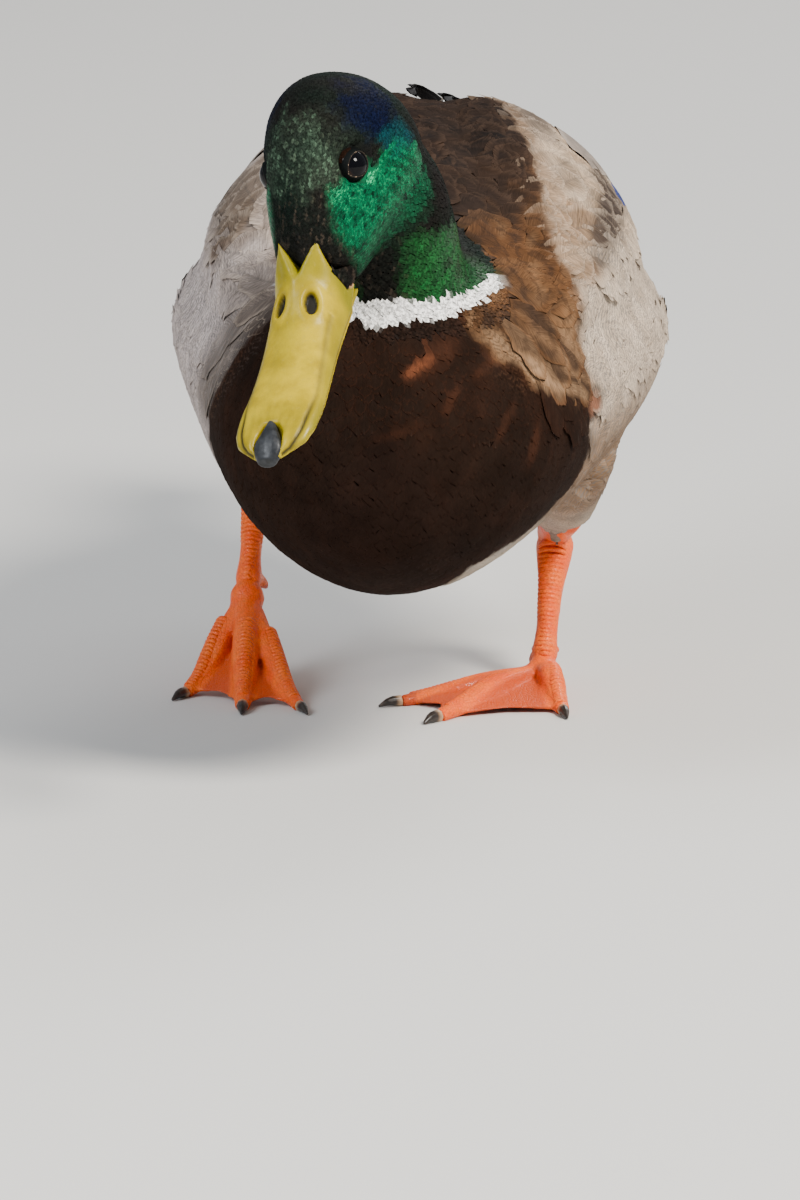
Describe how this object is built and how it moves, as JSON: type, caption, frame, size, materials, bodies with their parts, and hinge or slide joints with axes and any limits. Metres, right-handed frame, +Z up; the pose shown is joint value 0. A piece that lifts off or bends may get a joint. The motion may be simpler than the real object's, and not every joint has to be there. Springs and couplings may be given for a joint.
{
  "type": "mallard drake model",
  "caption": "Life-size standing model of a mallard drake caught in mid step: round chestnut breast, green head turned down, flat bill and webbed feet on the floor.",
  "frame": {"origin": "bottom centre of the bounding box, on the floor the feet rest on", "axes": "+Z up, +Y from the breast to the tail, +X to the bird's left, so the bird faces -Y"},
  "size_m": [0.1384, 0.408, 0.199],
  "materials": {
    "breast_plumage": "dense satin feathers",
    "wing_plumage": "matt feathers",
    "dark_plumage": "satin feathers",
    "head_plumage": "glossy feathers",
    "bill_horn": "waxy horn",
    "nail_horn": "satin horn",
    "claw_horn": "satin horn",
    "eye": "wet gloss",
    "leg_skin": "scaled skin"
  },
  "bodies": {
    "root": {"bill_lower": "bill_horn", "bill_nail": "nail_horn", "bill_upper": "bill_horn", "claw_left_inner": "claw_horn", "claw_left_middle": "claw_horn", "claw_left_outer": "claw_horn", "claw_right_inner": "claw_horn", "claw_right_middle": "claw_horn", "claw_right_outer": "claw_horn", "curl_left": "dark_plumage", "curl_right": "dark_plumage", "eye_left": "eye", "eye_right": "eye", "foot_left": "leg_skin", "foot_right": "leg_skin", "head": "head_plumage", "hind_toe_left": "leg_skin", "hind_toe_right": "leg_skin", "neck": "head_plumage", "primaries_left": "dark_plumage", "primaries_right": "dark_plumage", "shank_left": "leg_skin", "shank_right": "leg_skin", "tail": "dark_plumage", "thigh_left": "breast_plumage", "thigh_right": "breast_plumage", "trunk": "breast_plumage", "wing_left": "wing_plumage", "wing_right": "wing_plumage"}
  },
  "joints": []
}
